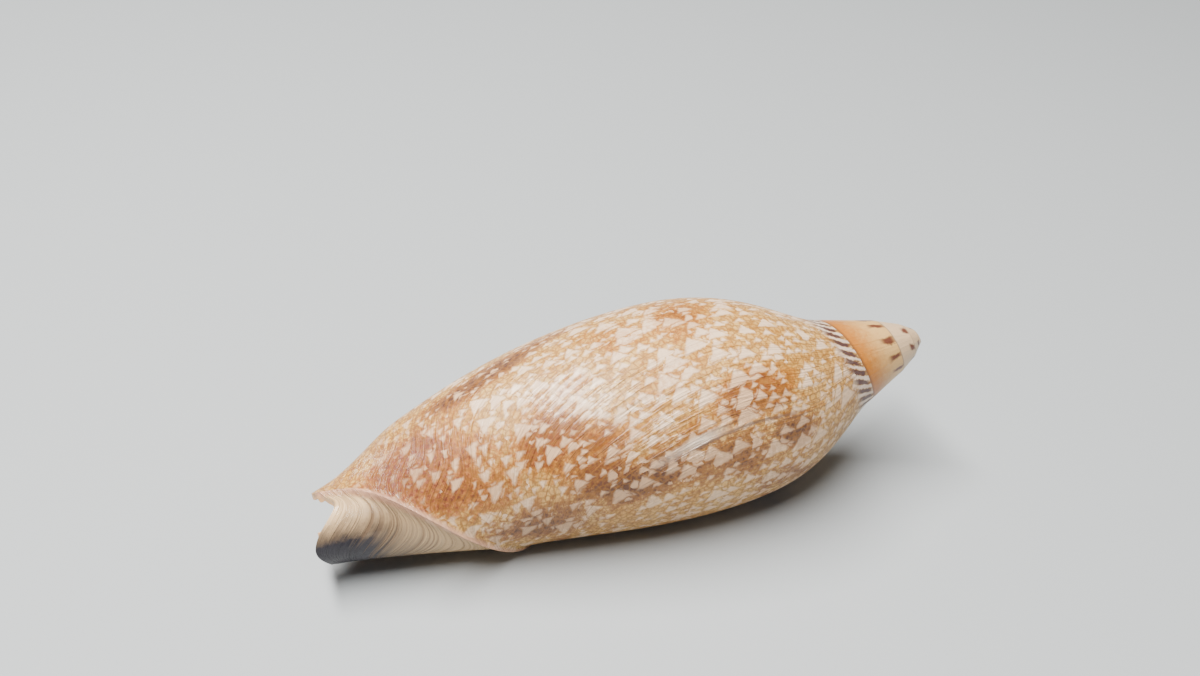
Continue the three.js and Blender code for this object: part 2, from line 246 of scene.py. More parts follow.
def front_edge(t):
    """Height of the front edge: smooth steps at the lip, the spur and the columella, less a
    bell where the siphonal notch is."""
    phi = LIP_AZIMUTH - 360 * t
    level = FRONT_AT_SPUR
    for step, start, stop in FRONT_STEPS:
        level = level + step * ramp(phi, start, stop)
    return level - NOTCH_DEPTH * bell(phi - NOTCH_AZIMUTH, NOTCH_HALF)


print("height of the front edge at the lip, as a share:", round(float(front_edge(0.0)), 3))

# %% [markdown]
# ## The grown body
# The outside is one strip that winds from the apex to the lip. Along a whorl that is already
# covered, only the part between two sutures shows, and its lower edge is shared with the
# next turn. The last turn runs on down to the front end. A spiral strip keeps the suture a
# clean line, which a lathed spire with a painted suture wouldn't.

# %% Grid of the body
STEPS, TURNS = 240, 5  # columns per turn, and turns
STRIP, SHOULDER, BASE, RIM, CAP = 10, 14, 44, 16, 8  # rows of each part
RIM_MARGIN = 0.02  # least height left between the ridge line and the front edge
RIM_CROWDING = 1.4  # crowds the rim's rows toward the ridge
LIP_WALL = 0.8  # mm
LIP_ROUND = 0.0028  # turns over which the lip's edge is rounded, half its wall
LIP_ROUND_HEIGHT = 0.03  # height below the suture over which that rounding sets in
ROUND_COLUMNS = 6
round_angle = np.linspace(0, np.pi / 2, ROUND_COLUMNS + 1)
near_lip = 1 - LIP_ROUND * (1 - np.sin(round_angle[:-1]))
fractions = np.concatenate([np.arange(STEPS) / STEPS, near_lip])
per_turn = len(fractions)
stages = np.concatenate([(np.arange(-TURNS, 0)[:, None] + fractions).ravel(), [0.0]])
body_from = per_turn * (TURNS - 1)
body_rows = STRIP + SHOULDER + BASE + RIM + CAP + 1
print("columns and rows of the body:", len(stages), body_rows)

# %% Profiles of the spire and of the last turn


def suture_line(t):
    """Suture height on the grid: the spire starts as a point and takes one turn to grow full."""
    return lines(t)[0] * smooth(t + TURNS - 1)


def strip_points(t, rows):
    """Heights and radii between two sutures: the shoulder's power law, cut where the next turn
    covers it."""
    low, high = suture_line(t), suture_line(t + 1)
    y = np.arange(rows) / STRIP
    rise = (1 - (1 - STRIP_SHARE * y) ** STRIP_POWER) / STRIP_RISE
    a = low[:, None] + (high - low)[:, None] * y
    return a, dome(low)[:, None] + (dome(high) - dome(low))[:, None] * rise


def body_points(t):
    """Heights and radii of the last turn, row by row, from the suture to the front pole."""
    suture, _, widest, _, ridge, _ = [v[:, None] for v in lines(t)]
    edge = front_edge(t)[:, None]
    split = soft_min(ridge, edge - RIM_MARGIN, SOFT)
    strip = suture + (widest - suture) * STRIP_SHARE * np.arange(STRIP) / STRIP
    past = STRIP_SHARE + (1 - STRIP_SHARE) * np.arange(SHOULDER) / SHOULDER
    shoulder = suture + (widest - suture) * past
    base = widest + (split - widest) * np.arange(BASE) / BASE
    rim = split + (edge - split) * (np.arange(RIM + 1) / RIM) ** RIM_CROWDING
    a = np.concatenate([strip, shoulder, base, rim], 1)
    r = whorl(t[:, None], a)
    drawn = 0.5 * LIP_WALL * (1 - np.sqrt(1 - np.clip(1 + t / LIP_ROUND, 0, 1) ** 2))
    r = r - drawn[:, None] * ramp(a - suture, 0, LIP_ROUND_HEIGHT)
    s = np.arange(1, CAP) / CAP
    cap_a = edge + (FRONT_POLE - edge) * smooth(s)
    return np.concatenate([a, cap_a], 1), np.concatenate([r, r[:, -1:] * (1 - s)], 1)


heights, radii = np.zeros((2, len(stages), body_rows))
old, last, strip = slice(0, body_from), slice(body_from, None), slice(0, STRIP + 1)
heights[old, strip], radii[old, strip] = strip_points(stages[old], STRIP + 1)
heights[last, :-1], radii[last, :-1] = body_points(stages[last])
points = place(stages[:, None], heights, radii)
print("greatest radius in mm:", round(float(radii.max()), 2))

# %% Vertices of the body
# each vertex has one number: 0 is the apex, 1 the front pole, and the lower edge of a whorl on
# the spire takes its numbers from the suture one turn on
ids = np.full((len(stages), body_rows), -1)
own = np.zeros_like(ids, bool)
own[1:body_from, :STRIP] = True
own[: per_turn + 1, 0] = False
own[body_from:, :-1] = True
own[body_from, STRIP] = False
ids[own] = np.arange(own.sum()) + 2
ids[: per_turn + 1, 0] = 0
ids[0, : STRIP + 1] = 0
ids[body_from:, -1] = 1
ids[: body_from + 1, STRIP] = ids[per_turn:, 0]
apex = place(0.0, 0.0, 0.0)
body_vertices = np.concatenate([[apex, [0, 0, -FRONT_POLE * LENGTH]], points[own]])
print("vertices of the body:", len(body_vertices))

# %% Faces of the body


def grid_faces(grid):
    """Two triangles for each cell of a grid of vertex numbers, without those that close to nothing."""
    a, b, c, d = grid[:-1, :-1], grid[1:, :-1], grid[1:, 1:], grid[:-1, 1:]
    faces = np.concatenate([np.stack(three, -1).reshape(-1, 3) for three in ((a, b, c), (a, c, d))])
    return faces[(faces != np.roll(faces, 1, axis=1)).all(1)]


spire_faces = grid_faces(ids[: body_from + 1, : STRIP + 1])
last_faces = grid_faces(ids[body_from:])
# the wall that stands in the mouth joins the lip's profile to the surface one turn back
across = np.stack([ids[body_from], ids[-1]])
across[0, :STRIP] = across[0, STRIP]
wall_faces = grid_faces(across)[:, ::-1]
body_faces = np.concatenate([spire_faces, last_faces, wall_faces])
print("faces of the body:", len(body_faces))

# %% [markdown]
# ## The hollow of the whorl
# The animal lived in a tube that winds with the shell. Its outer side is the whorl less the
# thickness of the wall, and its inner side is the turn before, with the four oblique folds
# that such a shell has on its columella. Cutting this tube out of the body gives the thin
# lip, the mouth and the open canal at the front in one step.

# %% Sides of the hollow
WALL, LIP_BEVEL = 1.7, 0.10  # mm, and the turns over which it thins to the lip
FRONT_THIN, FRONT_THIN_AT = 0.45, (0.86, 0.98)  # share of the wall lost toward the front edge
FLARE, FLARE_LIMIT = 0.525, 0.999  # share of the lip's wall that its inner rounding takes
GLAZE, GLAZE_END, GLAZE_FADE = 0.2, 0.01, 0.05  # callus laid on the turn before
UNDERCUT = 0.01  # mm by which the hollow cuts into that turn, so that no two faces coincide
FOLD_HEIGHT, FOLD_HALF, FOLD_GROWTH = 0.9, 0.011, 2.2
FOLD_AT = np.array([0.615, 0.675, 0.735, 0.80])
FOLD_FROM, FOLD_FADE = -0.004, 0.07  # stage at which the folds start, and turns they take
TOP_GAP = 0.9  # width of the hollow in mm where it closes under the suture
HALVINGS = 40


def hollow_outer(t, a):
    """The whorl less its wall, which thins toward the lip and the front, plus a quarter circle
    at the lip's inner edge."""
    wall = WALL + (LIP_WALL - WALL) * ramp(t, -LIP_BEVEL, 0)
    opened = np.clip(1 + t / LIP_ROUND, 0, FLARE_LIMIT)
    flare = FLARE * LIP_WALL * (1 - np.sqrt(1 - opened ** 2))
    return whorl(t, a) - wall * (1 - FRONT_THIN * ramp(a, *FRONT_THIN_AT)) + flare


def hollow_inner(t, a):
    """The turn before, plus its thin callus, which runs out at the mouth, plus the highest of the
    bell curves of the columella's folds."""
    inside = smooth((FOLD_FROM - t) / FOLD_FADE)
    folds = bell(a[..., None] - FOLD_AT * FOLD_GROWTH ** t[..., None], FOLD_HALF).max(-1)
    glaze = GLAZE * smooth((GLAZE_END - t) / GLAZE_FADE) - UNDERCUT
    return whorl(t - 1, a) + glaze + FOLD_HEIGHT * folds * inside


def hollow_top(t):
    """Height at which the hollow closes under the suture, found by halving."""
    low, high = lines(t)[0], lines(t)[2]
    for _ in range(HALVINGS):
        middle = 0.5 * (low + high)
        wide = hollow_outer(t, middle) - hollow_inner(t, middle) > TOP_GAP
        low, high = np.where(wide, low, middle), np.where(wide, middle, high)
    return high


print("wall half a turn back in mm:", round(float(whorl(-0.5, 0.5) - hollow_outer(-0.5, 0.5)), 2))

# %% Grid of the hollow
HOLLOW_START, HOLLOW_STEPS = -1.5, 300
OUTSIDE_FROM, HOLLOW_END, OUTSIDE_STEPS = 0.004, 0.045, 8  # past the lip, so that the cut is open
OUTER_ROWS, FLOOR_ROWS, FOLD_ROWS, PARIETAL_ROWS, CORNER_ROWS = 34, 14, 56, 22, 6
OUTER_CROWDING = 0.25  # crowds the outer rows toward the corners
CORNER = 0.010  # height over which the corners of the tube are rounded
CANAL_AT, CANAL_GROWTH, CANAL_END = 0.80, 2.4, 1.06  # floor of the hollow in the last turn
OLD_FLOOR_AT, OLD_FLOOR_GROWTH = 0.643, 3  # the same one turn back and earlier
GROOVE_MARGIN = 0.03  # height of the groove beside the first and the last fold
tube_t = np.concatenate([
    np.linspace(HOLLOW_START, -2 * LIP_ROUND, HOLLOW_STEPS),
    -LIP_ROUND * (1 - np.sin(round_angle)),
    np.linspace(OUTSIDE_FROM, HOLLOW_END, OUTSIDE_STEPS),
])[:, None]
top = hollow_top(tube_t)
canal = np.minimum(CANAL_END, CANAL_AT * CANAL_GROWTH ** (tube_t - RIDGE_TURN))
bottom = np.where(tube_t > -1, canal, OLD_FLOOR_AT * OLD_FLOOR_GROWTH ** (tube_t + 1))
corner = np.linspace(0, np.pi / 2, CORNER_ROWS + 1)[1:]
low_a = bottom - CORNER * (1 - np.sin(corner))
mix_low = 0.5 * (1 - np.cos(corner))
s = np.linspace(0, 1, OUTER_ROWS)
outer_a = top + (bottom - CORNER - top) * ((1 - OUTER_CROWDING) * s + OUTER_CROWDING * smooth(s))
first_groove = FOLD_GROWTH ** tube_t * (FOLD_AT[0] - GROOVE_MARGIN)
last_groove = FOLD_GROWTH ** tube_t * (FOLD_AT[-1] + GROOVE_MARGIN)
inner_a = np.concatenate([
    bottom - CORNER + (last_groove - bottom + CORNER) * np.linspace(0, 1, FLOOR_ROWS),
    last_groove + (first_groove - last_groove) * np.linspace(0, 1, FOLD_ROWS)[1:],
    first_groove + (top - first_groove) * np.linspace(0, 1, PARIETAL_ROWS)[1:],
], 1)
outer_low = hollow_outer(tube_t, low_a)
inner_low = hollow_inner(tube_t * np.ones_like(low_a), low_a)
tube_a = np.concatenate([outer_a, low_a, low_a[:, -2::-1], inner_a], 1)
tube_r = np.concatenate([
    hollow_outer(tube_t, outer_a),
    outer_low + (inner_low - outer_low) * mix_low,
    (inner_low + (outer_low - inner_low) * mix_low)[:, -2::-1],
    hollow_inner(tube_t * np.ones_like(inner_a), inner_a),
], 1)
tube_points = place(tube_t, tube_a, tube_r)
loops, per_loop = tube_a.shape
tube_ids = np.arange(loops * per_loop).reshape(loops, per_loop)
tube_faces = grid_faces(np.concatenate([tube_ids, tube_ids[:, :1]], 1))
print("loops of the hollow:", loops, "of", per_loop)

# %% [markdown]
# ## One closed piece
# Both closed surfaces become meshes, and Blender's Boolean cuts the hollow out of the body. The
# inner surface could be joined to the outer one along the lip by hand, but the mouth also cuts
# through the front end and the turn before, where the cut finds its own edge.

# %% Meshes from arrays


def make_object(name, vertices, faces, rings=()):
    """A mesh object from arrays of points and triangles, with each ring closed by one flat face."""
    mesh = bpy.data.meshes.new(name)
    mesh.from_pydata(vertices, [], [list(f) for f in faces] + [list(r) for r in rings])
    mesh.validate()
    made = bpy.data.objects.new(name, mesh)
    bpy.context.scene.collection.objects.link(made)
    return made


def triangulated(o):
    """Splits the flat faces of the rings into triangles and turns all faces outward."""
    work = bmesh.new()
    work.from_mesh(o.data)
    bmesh.ops.triangulate(work, faces=[f for f in work.faces if len(f.verts) > 4])
    bmesh.ops.recalc_face_normals(work, faces=work.faces)
    work.to_mesh(o.data)
    work.free()


shell = make_object("volute", body_vertices, body_faces)
rings = [tube_ids[0].tolist(), tube_ids[-1, ::-1].tolist()]
cutter = make_object("hollow", tube_points.reshape(-1, 3), tube_faces, rings)
for piece in (shell, cutter):
    triangulated(piece)
print("faces before the cut:", len(shell.data.polygons), "and", len(cutter.data.polygons))

# %% Cutting the hollow out of the body
cut = shell.modifiers.new("hollow", "BOOLEAN")
cut.operation = "DIFFERENCE"
cut.solver = "MANIFOLD"
cut.object = cutter
bpy.context.view_layer.update()
ready = shell.evaluated_get(bpy.context.evaluated_depsgraph_get())
finished = bpy.data.meshes.new_from_object(ready)
shell.modifiers.clear()
shell.data = finished
bpy.data.objects.remove(cutter)
edges = bmesh.new()
edges.from_mesh(shell.data)
print("open edges:", sum(not e.is_manifold for e in edges.edges), "faces:", len(edges.faces))
edges.free()

# %% [markdown]
# ## Setting the shell down
# An empty shell lies on its mouth, with one side of the body whorl up and the spire a little
# raised, as its own balance gives. The object could be turned, but the turn belongs in the mesh
# so that the piece stays at the origin. Then it is set on the solid that it stands for.

# %% Setting the shell down
SHARP_ANGLE = 38  # degrees past which an edge stays sharp, as round the mouth


def points_of(mesh):
    """The mesh's vertices as an array of rows."""
    flat = np.empty(len(mesh.vertices) * 3, np.float32)
    mesh.vertices.foreach_get("co", flat)
    return flat.reshape(-1, 3).astype(float)


own_points = points_of(shell.data)
azimuth, raised = np.radians(REST_AZIMUTH), np.radians(APEX_RAISE)
up = np.array([np.cos(azimuth) * np.cos(raised), np.sin(azimuth) * np.cos(raised), np.sin(raised)])
along = np.array([0, 0, 1.0]) - up * up[2]
along /= np.linalg.norm(along)
rest = np.stack([along, np.cross(up, along), up])
turned = own_points @ rest.T / 1000
low, high = turned.min(0), turned.max(0)
shift = np.array([*(-(low + high)[:2] / 2), -low[2]])
shell.data.vertices.foreach_set("co", (turned + shift).astype(np.float32).ravel())
shell.data.update()
shell.data.shade_smooth()
shell.data.set_sharp_from_angle(angle=np.radians(SHARP_ANGLE))
print("length as it lies in mm:", round(float((high - low)[0]) * 1000, 2))

# %% [markdown]
# ## Where each point lies on the growing shell
# The animal laid down its colour only along the lip, so the marks follow growth. Each corner of a
# face gets its stage and height, found by reading the placing formula backwards. A face is told
# whole to which turn it belongs, so that the marks change sharply at the suture.

# %% Corners and faces of the finished mesh
LEAN_ROUNDS = 12  # rounds after which the lean is undone to well under a micrometre
SPIRE_INSIDE = 1.0  # mm below the formula's outside past which a corner on the spire is inside
mesh = shell.data
corner_vertex = np.empty(len(mesh.loops), np.int32)
mesh.loops.foreach_get("vertex_index", corner_vertex)
starts = np.empty(len(mesh.polygons), np.int32)
mesh.polygons.foreach_get("loop_start", starts)
sides = np.diff(np.append(starts, len(corner_vertex)))
corner_face = np.repeat(np.arange(len(starts)), sides)
print("corners:", len(corner_vertex), "faces:", len(starts))

# %% Stage, height and depth at each corner


def unleaned(p):
    """The points with the spire's lean and drawn out tip undone, by repeating the height formula."""
    a = -p[:, 2] / LENGTH
    for _ in range(LEAN_ROUNDS):
        a = (TIP_RISE * np.exp(-np.maximum(a, 0) / TIP_REACH) - p[:, 2]) / LENGTH
    return np.column_stack([p[:, :2] - tip_lean(a), -a * LENGTH])


def stage_and_height(p):
    """Fraction of a turn behind the lip, from -1 to 0, and height: the placing read backwards."""
    a = -p[:, 2] / LENGTH
    phi = np.degrees(np.arctan2(p[:, 1], p[:, 0]))
    return -((phi + sweep(a) - LIP_AZIMUTH) / 360 % 1), a


own_points = unleaned(own_points)
centres = np.add.reduceat(own_points[corner_vertex], starts) / sides[:, None]
face_t, face_a = stage_and_height(centres)
turn = sum((face_a < suture_line(face_t - n)).astype(int) for n in range(TURNS - 1))
vertex_t, vertex_a = stage_and_height(own_points)
nearer = (vertex_t[corner_vertex] - face_t[corner_face] + 0.5) % 1 - 0.5
corner_t = face_t[corner_face] - turn[corner_face] + nearer
corner_a = vertex_a[corner_vertex]
vertex_r = np.hypot(own_points[:, 0], own_points[:, 1])
corner_depth = whorl(np.minimum(corner_t, 0), corner_a) - vertex_r[corner_vertex]
on_spire = corner_t < -1
corner_depth[on_spire & (corner_depth <= SPIRE_INSIDE)] = 0
print("stages from", round(corner_t.min(), 2), "to", round(corner_t.max(), 2))

# %% [markdown]
# ## Growth lines
# A growth line shows where the shell's edge once stood. Over most of the whorl that was the lip,
# and near the front it was the front margin. The stage of growth at a point is therefore the
# later of two stages, and the line is where it stays the same. Each vertex gets two directions
# from it, along which its tents are drawn: toward the lip, and along the growth line.

# %% Stage of growth at each corner
CORNER_TURNS = 0.16  # rounds each growth line where the lip meets the front margin
EARLIEST = -1.8  # stage before which no front margin reached into sight
MARGIN_HALVINGS = 24
GIRTH = 2 * np.pi * WIDEST_RADIUS / np.log(RADIUS_GROWTH)  # length of the whole spiral in mm


def margin_stage(t, a):
    """Stage at which the growing front margin had reached height a, found by halving: one turn
    back, the whole margin was nearer the apex by the ridge's factor."""
    low, high = np.full(len(a), EARLIEST), np.zeros(len(a))
    for _ in range(MARGIN_HALVINGS):
        middle = 0.5 * (low + high)
        reached = front_edge(t - middle) * RIDGE_GROWTH ** middle > a
        low, high = np.where(reached, low, middle), np.where(reached, middle, high)
    return high


def growth_stage(t, a):
    """Stage at which the shell grew here: the later of the lip's and the front margin's, rounded."""
    front_t = margin_stage(t, a)
    later = 0.5 * (t + front_t + np.hypot(t - front_t, CORNER_TURNS))
    return np.where(t < -1, t, later)


growth_mm = GIRTH * RADIUS_GROWTH ** growth_stage(corner_t, corner_a)
suture_a = lines(corner_t)[0]
down_mm = (corner_a - suture_a) * LENGTH
next_suture = np.where(corner_t < -1, lines(corner_t + 1)[0], 1.0)
across_whorl = (corner_a - suture_a) / (next_suture - suture_a)
print("growth in mm, from", round(float(growth_mm.min()), 1), "to", round(float(growth_mm.max()), 1))

# %% Directions at each vertex
# the growth line runs where the growth stage doesn't change, within the surface
STEP_T, STEP_A = 0.002, 0.002  # small steps in stage and height, to measure the change over
phi = np.arctan2(own_points[:, 1], own_points[:, 0])
zero = np.zeros_like(phi)
turning_way = np.stack([np.sin(phi), -np.cos(phi), zero], -1)
own_t = np.zeros(len(own_points))
own_t[corner_vertex] = corner_t
by_turn = growth_stage(own_t + STEP_T, vertex_a) - growth_stage(own_t - STEP_T, vertex_a)
by_height = growth_stage(own_t, vertex_a + STEP_A) - growth_stage(own_t, vertex_a - STEP_A)
by_turn, by_height = by_turn / (2 * STEP_T), by_height / (2 * STEP_A)
swept = np.radians(sweep(vertex_a + STEP_A) - sweep(vertex_a - STEP_A)) / (2 * STEP_A)
sideways = vertex_r * swept * by_turn - 2 * np.pi * vertex_r * by_height
growth_line = turning_way * sideways[:, None] - np.array([0, 0, LENGTH]) * by_turn[:, None]
normals = np.empty(len(mesh.vertices) * 3, np.float32)
mesh.vertices.foreach_get("normal", normals)
normals = normals.reshape(-1, 3) @ rest
growth_line -= normals * (growth_line * normals).sum(1)[:, None]
growth_line /= np.maximum(np.linalg.norm(growth_line, axis=1), 1e-9)[:, None]
growth_way = np.cross(growth_line, normals)

# the tents stand a little askew to the growth lines, one way near the spire, the other in front
ASKEW_BACK, ASKEW_FRONT, ASKEW_BETWEEN = -8.0, 16.0, (0.35, 0.65)  # degrees, and heights
askew = ASKEW_BACK + (ASKEW_FRONT - ASKEW_BACK) * ramp(vertex_a, *ASKEW_BETWEEN)
askew = np.radians(askew)[:, None]
tent_way = growth_way * np.cos(askew) - growth_line * np.sin(askew)
tent_base = growth_line * np.cos(askew) + growth_way * np.sin(askew)
print("tents askew in degrees:", ASKEW_BACK, "to", ASKEW_FRONT)

# %% [markdown]
# ## Where the darker marks lie
# Such a shell has three belts of darker blotches that wind with the whorl. They could be left to
# noise all over, but each shell has its own blotches, and the eye knows them by their places.
# So the side that the photograph shows has a short table of soft ellipses, given by stage and
# height, and the hidden side has the belts alone.

# %% Belts and blotches
BELTS = [(0.23, 0.075), (0.55, 0.085), (0.83, 0.07)]  # share of the way to the front, half width
BLOTCHES = [
    # stage, height, half length in turns, half height, strength
    (-0.484, 0.312, 0.034, 0.04, 1), (-0.492, 0.362, 0.026, 0.036, 0.95),
    (-0.55, 0.29, 0.03, 0.04, 0.7), (-0.52, 0.42, 0.024, 0.06, 0.45), (-0.565, 0.39, 0.034, 0.07, 0.6),
    (-0.422, 0.645, 0.04, 0.055, 1), (-0.478, 0.59, 0.04, 0.055, 0.85), (-0.545, 0.53, 0.034, 0.06, 1),
    (-0.512, 0.59, 0.038, 0.05, 1), (-0.374, 0.61, 0.026, 0.05, 0.55), (-0.34, 0.396, 0.04, 0.045, 0.6),
    (-0.36, 0.85, 0.07, 0.07, 1), (-0.43, 0.82, 0.05, 0.05, 0.75), (-0.39, 0.76, 0.036, 0.05, 0.6),
    (-0.455, 0.74, 0.04, 0.05, 0.55), (-0.262, 0.705, 0.022, 0.08, 0.95),
    (-0.258, 0.6, 0.016, 0.06, 0.6), (-0.33, 0.5, 0.03, 0.04, 0.35), (-0.565, 0.68, 0.045, 0.08, 0.65),
    (-0.43, 0.46, 0.02, 0.03, 0.3),
]
SEEN, SEEN_FADE = (-0.60, -0.22), 0.06  # stages that the photograph shows, and how they end
EDGE_AT, EDGE_SLOPE = 1.30, 0.75  # a blotch is full within 0.4 of its size, and gone at 1.7
belt = np.max([bell(across_whorl - at, half) for at, half in BELTS], axis=0)
blotch = np.zeros_like(corner_t)
for at_t, at_a, half_t, half_a, strength in BLOTCHES:
    round_it = np.hypot((corner_t - at_t) / half_t, (corner_a - at_a) / half_a)
    blotch = np.maximum(blotch, strength * smooth(EDGE_AT - EDGE_SLOPE * round_it))
seen = ramp(corner_t, SEEN[0] - SEEN_FADE, SEEN[0]) * (1 - ramp(corner_t, SEEN[1], SEEN[1] + SEEN_FADE))
print("share of the corners in a blotch:", round(float((blotch > 0.5).mean()), 3))

# %% Storing the attributes
FAR_BEHIND = -50.0  # mm, so that nothing on the spire counts as near the ridge


def store(name, kind, domain, values):
    """Writes one attribute from an array."""
    layer = mesh.attributes.new(name, kind, domain)
    field = "vector" if kind == "FLOAT_VECTOR" else "value"
    layer.data.foreach_set(field, values.astype(np.float32).ravel())


store("tent_way", "FLOAT_VECTOR", "POINT", tent_way @ rest.T)
store("tent_base", "FLOAT_VECTOR", "POINT", tent_base @ rest.T)
ridge_mm = (corner_a - lines(corner_t)[4]) * LENGTH
front_mm = (front_edge(np.clip(corner_t, -1, 0)) - corner_a) * LENGTH
marks = {
    "growth_mm": growth_mm, "down_mm": down_mm, "stage": corner_t, "height": corner_a,
    "front_mm": front_mm, "ridge_mm": np.where(corner_t < -1, FAR_BEHIND, ridge_mm),
    "depth_mm": corner_depth, "across": across_whorl, "belt": belt * (1 - seen), "blotch": blotch,
}
for name, values in marks.items():
    store(name, "FLOAT", "CORNER", values)
print("attributes on the corners:", ", ".join(marks))

# %% [markdown]
# ## The shell's surface
# The shell is aragonite, laid down by the mantle in crossed layers and glazed by it, so it is
# as smooth as porcelain. Its pigment lies in the outermost layer: a fine ochre net, cream
# tents with their base toward the older shell, and three belts of darker blotches.

# %% Colours and the node helper


def colour(code):
    """An sRGB hex code as linear red, green, blue and alpha."""
    channels = [int(code[i : i + 2], 16) / 255 for i in (1, 3, 5)]
    linear = [c / 12.92 if c <= 0.04045 else ((c + 0.055) / 1.055) ** 2.4 for c in channels]
    return (*linear, 1.0)


def start_material(name):
    """A new material with an empty node tree."""
    material = bpy.data.materials.new(name)
    material.use_nodes = True
    material.node_tree.nodes.clear()
    return material


def add(tree, kind, values=(), **settings):
    """Adds one node. Values are numbers, colours, or outputs and nodes to link, in the order of the
    inputs or by name or number. A map range takes the value, then from, from, to and to, and
    maps onto 0 to 1 if it isn't told."""
    node = tree.nodes.new(kind)
    for key, value in settings.items():
        setattr(node, key, value)
    for key, value in values.items() if isinstance(values, dict) else enumerate(values):
        if isinstance(value, bpy.types.Node):
            value = value.outputs[0]
        if isinstance(value, bpy.types.NodeSocket):
            tree.links.new(value, node.inputs[key])
        else:
            node.inputs[key].default_value = value
    return node


print("mid grey in linear light:", round(colour("#808080")[0], 3))

# %% [markdown]
# ## What the marks are tied to
# Every mark was laid down at the lip, so it follows the growth lines and not the room. A picture
# wrapped round the shell would stretch toward the spire. The pattern is worked out from the place
# in millimetres, which keeps its scale true everywhere, and from the growth attributes, which
# give it its direction.

# %% What the shell's material reads
# aragonite that the mantle laid down in crossed layers and glazed: the eye sees an even ground
# with clear colours, under a thin gloss that the growth lines break into streaks
glaze = start_material("tented_aragonite_shell")
tree = glaze.node_tree
MATH, VECTOR, MIX = "ShaderNodeMath", "ShaderNodeVectorMath", "ShaderNodeMix"
NOISE, CELLS = "ShaderNodeTexNoise", "ShaderNodeTexVoronoi"
RANGE, READ = "ShaderNodeMapRange", "ShaderNodeAttribute"

place_m = add(tree, "ShaderNodeTexCoord").outputs["Object"]
place_mm = add(tree, VECTOR, {0: place_m, "Scale": 1000.0}, operation="SCALE")
read = {name: add(tree, READ, attribute_name=name).outputs["Fac"] for name in marks}
grow_way = add(tree, READ, attribute_name="tent_way").outputs["Vector"]
line_way = add(tree, READ, attribute_name="tent_base").outputs["Vector"]
lines_at = add(tree, "ShaderNodeCombineXYZ", [read["growth_mm"], read["down_mm"]])
print("nodes that read places and attributes:", len(tree.nodes))

# %% [markdown]
# ## Tents
# A tent is a cream triangle that was left where the pigment cells of the mantle fell still for
# a while: a sharp tip, two straight sides, and a flat base toward the older shell. The pigment
# cells could be simulated row by row, or thousands of triangles could be laid on the surface.
# Cells of a Voronoi texture are simpler: the way from each cell's centre is measured along and
# across the growth direction, and a triangle is where three such distances all stay small.
# Three sizes are laid one after another, and a smaller tent keeps clear of the larger ones.

# %% Tents
# the marks' edges wander by about a fifth of a millimetre
wander = add(tree, NOISE, {"Vector": place_mm, "Scale": 1.1, "Detail": 2.0}).outputs["Color"]
wander = add(tree, VECTOR, [wander, (0.5, 0.5, 0.5)], operation="SUBTRACT")
wander = add(tree, VECTOR, {0: wander, "Scale": 0.75}, operation="SCALE")
marked = add(tree, VECTOR, [place_mm, wander], operation="ADD")
shrink = add(tree, RANGE, [read["height"], 0.45, 0.95, 1.0, 0.6])

TENTS = [
    # cell in mm, half angle of the tip, least and most reach in mm, share left out, seed
    (4.7, 41, 0.58, 1.14, 0.27, (0.0, 9.0, 0.0)),
    (3.0, 42, 0.38, 0.66, 0.32, (31.0, 7.0, 12.0)),
    (1.9, 43, 0.24, 0.38, 0.48, (5.0, 44.0, 3.0)),
]
CORNER_SHARE = 0.95  # of the least reach, over which a tent's corners are rounded
FAR_TOO_SMALL = -9.0  # mm, for a tent that is left out
tents, free = None, None
for cell, half_angle, least, most, left_out, seed in TENTS:
    moved = add(tree, VECTOR, [marked, seed], operation="ADD")
    cells = add(tree, CELLS, {"Vector": moved, "Scale": 1 / cell, "Randomness": 0.9})
    away = add(tree, VECTOR, [moved, cells.outputs["Position"]], operation="SUBTRACT")
    ahead = add(tree, VECTOR, [away, grow_way], operation="DOT_PRODUCT").outputs["Value"]
    aside = add(tree, VECTOR, [away, line_way], operation="DOT_PRODUCT").outputs["Value"]
    aside = add(tree, MATH, [aside], operation="ABSOLUTE")
    tip = np.radians(half_angle)
    slant = add(tree, MATH, [ahead, float(np.sin(tip))], operation="MULTIPLY")
    slant = add(tree, MATH, [aside, float(np.cos(tip)), slant], operation="MULTIPLY_ADD")
    flat = add(tree, MATH, [ahead, -1.0], operation="MULTIPLY")
    reach = add(tree, MATH, [slant, flat, CORNER_SHARE * least], operation="SMOOTH_MAX")
    chance = add(tree, "ShaderNodeSeparateColor", [cells.outputs["Color"]]).outputs
    size = add(tree, RANGE, [chance[0], 0.0, 1.0, least, most])
    size = add(tree, MATH, [size, shrink], operation="MULTIPLY")
    hidden = add(tree, MATH, [chance[1], left_out], operation="LESS_THAN")
    size = add(tree, MATH, [hidden, FAR_TOO_SMALL, size], operation="MULTIPLY_ADD")
    edge = add(tree, MATH, [reach, size], operation="SUBTRACT")
    inside = add(tree, RANGE, [edge, 0.17, -0.17])
    clear = add(tree, RANGE, [edge, 0.10, 0.28])
    if tents is None:
        tents, free = inside, clear
    else:
        inside = add(tree, MATH, [inside, free], operation="MULTIPLY")
        tents = add(tree, MATH, [tents, inside], operation="MAXIMUM")
        free = add(tree, MATH, [free, clear], operation="MULTIPLY")
print("nodes once the tents are in:", len(tree.nodes))

# %% [markdown]
# ## Net and blotches
# Between the tents the pigment runs in fine ochre lines, and in the belts it is dense enough to
# be brown. The net is the border of small Voronoi cells. The blotches come from the table, and
# a grainy noise breaks them up, because the real ones are made of many small dark marks.

# %% Net and blotches
# the net between the tents has lines about 0.2 mm wide
NET_CELL = 0.95  # mm
net = add(tree, CELLS, {"Vector": marked, "Scale": 1 / NET_CELL}, feature="DISTANCE_TO_EDGE")
net = add(tree, RANGE, [net, 0.20, 0.02])
